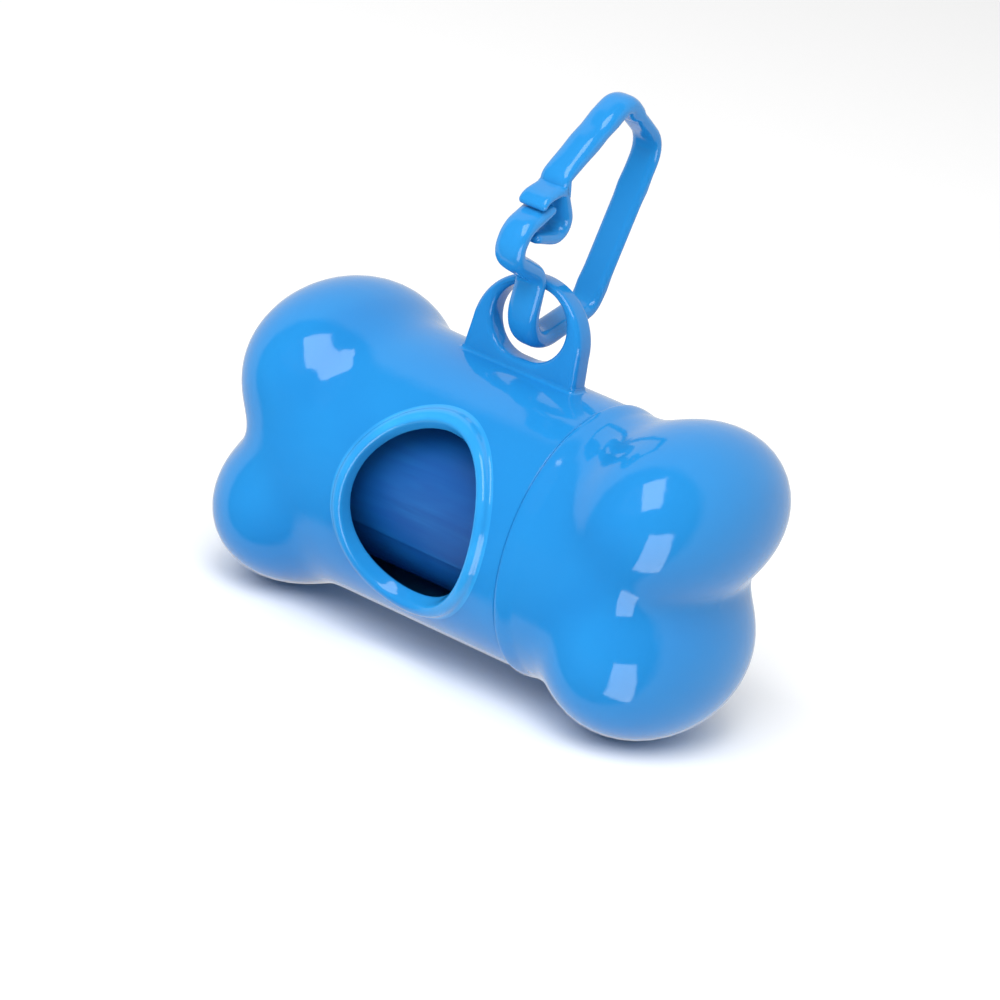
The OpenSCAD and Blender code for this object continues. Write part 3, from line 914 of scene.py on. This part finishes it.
def draw_band(name, start, run, c, round_start, round_end, count=BAND_ROUND):
    """Draws a band: its section is extruded along each straight row and spun round each bend."""
    g = bpy.context.scene.lug_sizes
    put_down()
    y, z, heading, _ = start
    bpy.ops.mesh.primitive_circle_add(
        vertices=count, radius=0.001, location=(g.along, y * MM, AXIS_Z + z * MM),
        rotation=(math.radians(heading - 90), 0, 0))
    band = named(name)
    edit(band)
    bpy.ops.mesh.select_all(action="SELECT")
    places = [start]
    for radius, amount, thick in run:
        y, z, heading, thin = places[-1]
        h = math.radians(heading)
        if radius:
            steps = max(2, math.ceil(abs(amount) / 6))
            side = math.copysign(1, amount)
            centre = (g.along, (y - side * radius * math.sin(h)) * MM,
                      AXIS_Z + (z + side * radius * math.cos(h)) * MM)
            bpy.ops.mesh.spin(steps=steps, angle=-math.radians(amount), center=centre, axis=(1, 0, 0))
            for i in range(1, steps + 1):
                here = thin + (thick - thin) * i / steps
                places.append(past((y, z, heading, thin), (radius, amount * i / steps, here)))
        else:
            steps = max(2, math.ceil(amount / 0.6))
            move = (0, amount / steps * math.cos(h) * MM, amount / steps * math.sin(h) * MM)
            for i in range(1, steps + 1):
                bpy.ops.mesh.extrude_region_move(TRANSFORM_OT_translate={"value": move})
                here = thin + (thick - thin) * i / steps
                places.append(past((y, z, heading, thin), (0, amount * i / steps, here)))
    put_down()
    shape_band(band, places, c, round_start, round_end, count)
    return band


def evened(walked, values, reach, free):
    """Values along a walk, each averaged with its neighbours in reach where it is free to move."""
    part = np.gradient(walked)
    near = np.exp(-(((walked[:, None] - walked[None, :]) / reach) ** 2)) * part
    even = (near @ values) / (near.sum(1) if values.ndim == 1 else near.sum(1)[:, None])
    # a straight line's ends would be drawn in, so an end moves only once it has neighbours on both sides
    inside = np.clip(np.minimum(walked, walked[-1] - walked) / (2 * reach), 0, 1) * free
    inside = inside if values.ndim == 1 else inside[:, None]
    return inside * even + (1 - inside) * values


def shape_band(band, places, c, round_start, round_end, count):
    """Gives each drawn ring its own thickness and rounded section, rounds the tips and closes the ends."""
    g = bpy.context.scene.lug_sizes
    p = points_of(band).reshape(-1, count, 3)
    places = np.array(places)
    if len(p) != len(places):
        raise RuntimeError(f"{band.name} has {len(p)} rings for {len(places)} places")
    drift = np.abs(p.mean(1)[:, 1:] - places[:, :2] * MM - (0, AXIS_Z)).max()
    if drift > 2e-6:
        raise RuntimeError(f"{band.name}'s rings lie {drift} off their places")
    walked = np.concatenate([[0], np.cumsum(np.hypot(*np.diff(places[:, :2], axis=0).T))])
    # near an end that goes on in the next piece the band keeps its place, thickness and rounding
    free = np.ones(len(places))
    rounding = np.full(len(places), c.rounding)
    for goes_on, from_end in ((not round_start, walked), (not round_end, walked[-1] - walked)):
        if goes_on:
            free = np.minimum(free, np.clip((from_end - 0.6) / 1.2, 0, 1))
            grown = c.strip_rounding + (c.rounding - c.strip_rounding) * np.clip(from_end / 6, 0, 1)
            rounding = np.minimum(rounding, grown)
    places[:, :2] = evened(walked, places[:, :2], 0.8, free)
    slope = np.gradient(places[:, :2], walked, axis=0)
    heading = np.unwrap(np.arctan2(slope[:, 1], slope[:, 0]))
    given = np.radians(places[:, 2])
    heading += 2 * math.pi * np.round((given - heading) / (2 * math.pi))
    places[:, 2] = np.degrees(free * heading + (1 - free) * given)
    thick = evened(walked, places[:, 3], 0.35, free)
    width = np.full(len(places), c.width / MM)
    for on, end, from_end in ((round_start, 0, walked), (round_end, -1, walked[-1] - walked)):
        if on:
            r = 0.5 * thick[end]
            e = np.clip(from_end / r, 0, 1)
            roundness = np.sqrt(np.clip(1 - (1 - e) ** 2, 0.0004, 1))
            thick = thick * roundness
            width = width - 2 * r * (1 - roundness) * 0.9
    for i, (y, z, heading, _) in enumerate(places):
        h = math.radians(heading)
        section = band_section(width[i] * MM, thick[i] * MM, rounding[i], count)
        p[i, :, 0] = g.along + section[:, 0]
        p[i, :, 1] = y * MM - math.sin(h) * section[:, 1]
        p[i, :, 2] = AXIS_Z + z * MM + math.cos(h) * section[:, 1]
    set_points(band, p.reshape(-1, 3))
    close_ends(band, len(places), count)
    edit(band)
    bpy.ops.mesh.select_all(action="SELECT")
    bpy.ops.mesh.normals_make_consistent(inside=False)
    put_down()


def with_round_tip(run):
    """The run with its last straight row split, so that rings lie close together where the tip is rounded."""
    run = list(run)
    radius, amount, thick = run[-1]
    r = thick / 2
    if radius:
        turn = math.degrees(r / radius)
        run[-1] = (radius, amount - math.copysign(turn, amount), thick)
        run += [(radius, math.copysign(turn * part, amount), thick) for part in TIP_PARTS]
    else:
        run[-1] = (0, amount - r, thick)
        run += [(0, r * part, thick) for part in TIP_PARTS]
    return run


class DISPENSER_OT_hanging_clip(bpy.types.Operator):
    """One-piece clip: hook, flexible strip and stiff arm with its second hook and foot"""
    bl_idname = "dispenser.hanging_clip"
    bl_label = "Hanging Clip"

    def execute(self, context):
        c = context.scene.clip_sizes
        lean = math.degrees(c.strip_lean)
        y, z = c.strip_y / MM, c.strip_up / MM
        low, high = c.bend_low / MM, c.bend_high / MM
        down, up = math.radians(lean + 180), math.radians(lean)
        first, last = LOWER_RUN[0], UPPER_RUN[0]
        thick_low = STRIP_THICK + (first[2] - STRIP_THICK) * low / first[1]
        thick_high = STRIP_THICK + (last[2] - STRIP_THICK) * high / last[1]
        lower_end = (y + low * math.cos(down), z + low * math.sin(down), lean + 180, thick_low)
        upper_end = (y + high * math.cos(up), z + high * math.sin(up), lean, thick_high)

        lower = with_round_tip([(0, first[1] - low, first[2]), *LOWER_RUN[1:]])
        start, rows = backwards(lower_end, lower)
        hook = draw_band("clip_hook", start, rows, c, True, False)
        upper = with_round_tip([(0, last[1] - high, last[2]), *UPPER_RUN[1:]])
        arm = draw_band("clip_arm", upper_end, upper, c, False, True)
        foot = draw_band("clip_foot", FOOT_START, with_round_tip(FOOT_RUN), c, False, True)
        arm = join(arm, foot)
        strip_start = (lower_end[0], lower_end[1], lean, thick_low)
        strip_rows = [(0, low, STRIP_THICK), (0, high, thick_high)]
        strip = draw_band("clip_strip", strip_start, strip_rows, c, False, False)
        for piece in (hook, arm, strip):
            smooth(piece, 50)
        finish_piece(hook, "clip", "clip_plastic", finish_named("Clip Plastic"), "clip_lower")
        finish_piece(arm, "clip_gate", "clip_plastic", finish_named("Clip Plastic"), "clip_upper")
        strip.data.materials.clear()
        strip.data.materials.append(finish_named("Clip Plastic"))
        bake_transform(strip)
        return {"FINISHED"}


# ---------- stage ----------

PICTURE_SHIFT = (0.00264, 0.00329)  # how far the bone's middle lies from the middle of the picture
# each softbox has a direction (right, up, back) from the bone's middle and a size (wide, high) in metres
SOFTBOXES = {
    "high_softbox": ((0.15, 0.62, 0.77), (0.42, 0.70)),
    "low_softbox": ((0.33, -0.70, 0.62), (0.50, 0.82)),
}
SOFTBOX_DISTANCE = 0.9
FRONT_LIGHT_DISTANCE = 1.2

def softbox(name, place, aim, size, power):
    """A rectangular studio light that looks from its place at a point."""
    light = bpy.data.lights.new(name, "AREA")
    light.shape = "RECTANGLE"
    light.size, light.size_y = size
    light.energy = power
    holder = bpy.data.objects.new(name, light)
    bpy.context.scene.collection.objects.link(holder)
    holder.location = place
    holder.rotation_euler = (Vector(aim) - Vector(place)).to_track_quat("-Z", "Y").to_euler()
    return holder


def facing(way, upright):
    """The turn of a light that stands in this direction, looks back along it and stays upright."""
    side = upright.cross(way).normalized()
    return Matrix((side, way.cross(side), way)).transposed().to_4x4()


def white_surround(t, front):
    """White all round for light, but dim in front where the plastic mirrors it, as an open light tent is."""
    world = bpy.data.worlds.new("White Surround")
    world.use_nodes = True
    nodes, links = world.node_tree.nodes, world.node_tree.links
    way = nodes.new("ShaderNodeTexCoord")
    ahead = nodes.new("ShaderNodeVectorMath")
    ahead.operation = "DOT_PRODUCT"
    ahead.inputs[1].default_value = front
    links.new(way.outputs["Generated"], ahead.inputs[0])
    falloff = nodes.new("ShaderNodeMapRange")
    for key, value in (("From Min", 0.05), ("From Max", 0.2),
                       ("To Min", t.mirror), ("To Max", t.mirror_front)):
        falloff.inputs[key].default_value = value
    links.new(ahead.outputs["Value"], falloff.inputs["Value"])
    path = nodes.new("ShaderNodeLightPath")
    strength = nodes.new("ShaderNodeMix")
    strength.inputs[2].default_value = t.sky
    links.new(path.outputs["Is Glossy Ray"], strength.inputs[0])
    links.new(falloff.outputs["Result"], strength.inputs[3])
    background = nodes["Background"]
    background.inputs["Color"].default_value = (1, 1, 1, 1)
    links.new(strength.outputs[0], background.inputs["Strength"])
    return world


class DISPENSER_OT_stage(bpy.types.Operator):
    """Pale floor, soft studio light and the camera at the picture's angle"""
    bl_idname = "dispenser.stage"
    bl_label = "Stage"

    def execute(self, context):
        t = context.scene.stage_sizes
        put_down()
        bpy.ops.mesh.primitive_plane_add(size=6, location=(0, 0, -0.00002))
        floor = named("floor")
        floor.data.materials.append(finish_named("Floor Paper"))
        floor.visible_glossy = False

        middle = Vector((0, 0, AXIS_Z))
        level = math.cos(t.elevation)
        back = Vector((math.sin(t.azimuth) * level, -math.cos(t.azimuth) * level, math.sin(t.elevation)))
        right = Vector((math.cos(t.azimuth), math.sin(t.azimuth), 0))
        up = back.cross(right)
        across = right * math.cos(t.roll) + up * math.sin(t.roll)
        above = up * math.cos(t.roll) - right * math.sin(t.roll)
        lens = bpy.data.cameras.new("picture_camera")
        lens.lens, lens.sensor_width = t.lens, 36
        lens.shift_x, lens.shift_y = PICTURE_SHIFT
        lens.clip_start, lens.clip_end = 0.05, 20
        camera = bpy.data.objects.new("picture_camera", lens)
        context.scene.collection.objects.link(camera)
        turn = Matrix((across, above, back)).transposed().to_4x4()
        camera.matrix_world = Matrix.Translation(middle + back * t.distance) @ turn
        context.scene.camera = camera

        context.scene.world = white_surround(t, (back - across * 0.3).normalized())
        context.scene.view_settings.view_transform = "Standard"

        def toward(right_part, up_part, back_part):
            return (across * right_part + above * up_part + back * back_part).normalized()

        place = middle + toward(-0.25, 0.55, 0.8) * FRONT_LIGHT_DISTANCE
        broad = softbox("front_light", place, middle, (0.9, 0.9), t.key)
        broad.visible_glossy = False
        for name, (direction, size) in SOFTBOXES.items():
            way = toward(*direction)
            place = middle + way * SOFTBOX_DISTANCE
            box = softbox(name, place, middle, size, t.shine * math.pi * size[0] * size[1])
            box.matrix_world = Matrix.Translation(place) @ facing(way, above)
        return {"FINISHED"}


# ---------- add-on ----------

STEPS = (
    DISPENSER_OT_body_shell, DISPENSER_OT_outlet_rim, DISPENSER_OT_hanging_lug, DISPENSER_OT_screw_neck,
    DISPENSER_OT_cap_shell, DISPENSER_OT_bag_roll, DISPENSER_OT_hanging_clip, DISPENSER_OT_stage)


class DISPENSER_PT_panel(bpy.types.Panel):
    """Sizes, colours and steps of the bag dispenser"""
    bl_idname = "DISPENSER_PT_panel"
    bl_label = "Bone Bag Dispenser"
    bl_space_type = "VIEW_3D"
    bl_region_type = "UI"
    bl_category = "Bag Dispenser"

    def draw(self, context):
        for step in STEPS:
            self.layout.operator(step.bl_idname)
        for name, group in SIZE_GROUPS.items():
            box = self.layout.box()
            box.label(text=name.replace("_", " ").title())
            for key in group.__annotations__:
                box.prop(getattr(context.scene, name), key)


def register():
    for group in SIZE_GROUPS.values():
        bpy.utils.register_class(group)
    for name, group in SIZE_GROUPS.items():
        setattr(bpy.types.Scene, name, PointerProperty(type=group))
    for step in (*STEPS, DISPENSER_PT_panel):
        bpy.utils.register_class(step)


def unregister():
    for step in (DISPENSER_PT_panel, *reversed(STEPS)):
        bpy.utils.unregister_class(step)
    for name, group in reversed(SIZE_GROUPS.items()):
        delattr(bpy.types.Scene, name)
        bpy.utils.unregister_class(group)


def main():
    register()
    for step in STEPS:
        group, name = step.bl_idname.split(".")
        getattr(getattr(bpy.ops, group), name)()
    put_down()


if __name__ == "__main__":
    main()
